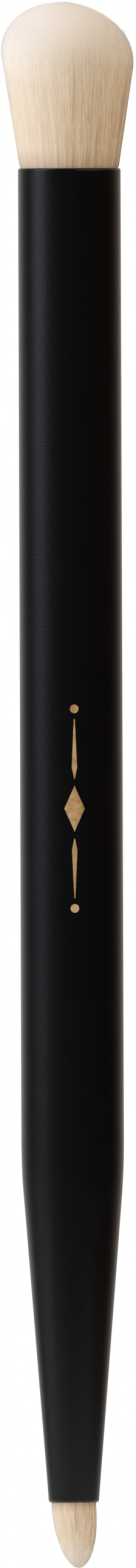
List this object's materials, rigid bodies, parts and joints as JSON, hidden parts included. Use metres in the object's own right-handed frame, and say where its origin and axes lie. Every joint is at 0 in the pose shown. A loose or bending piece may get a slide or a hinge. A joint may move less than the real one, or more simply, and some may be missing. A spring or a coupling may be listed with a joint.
{
  "type": "eyeshadow brush",
  "caption": "Double-ended eyeshadow brush: slim straight handle that tapers at one end, with a wide domed blending tuft opposite a small pointed pencil tuft.",
  "frame": {"origin": "on the axis, half way along the straight barrel, where the brush is held", "axes": "+Z along the brush from the pencil tuft to the blending tuft, +X to the right of a viewer who faces the brush as pictured"},
  "size_m": [0.013, 0.013, 0.1522],
  "materials": {
    "handle_coat": "matte black coat on thin aluminium",
    "core_wood": "turned, bare",
    "cup_aluminium": "drawn, bare",
    "epoxy": "cast, clear amber",
    "thread": "wound",
    "hair": "loose cream hair"
  },
  "bodies": {
    "root": {"handle_tube": "handle_coat", "handle_core": "core_wood", "blending_cup": "cup_aluminium", "blending_glue": "epoxy", "blending_binding": "thread", "blending_tuft": "hair", "pencil_glue": "epoxy", "pencil_binding": "thread", "pencil_tuft": "hair"}
  },
  "joints": []
}
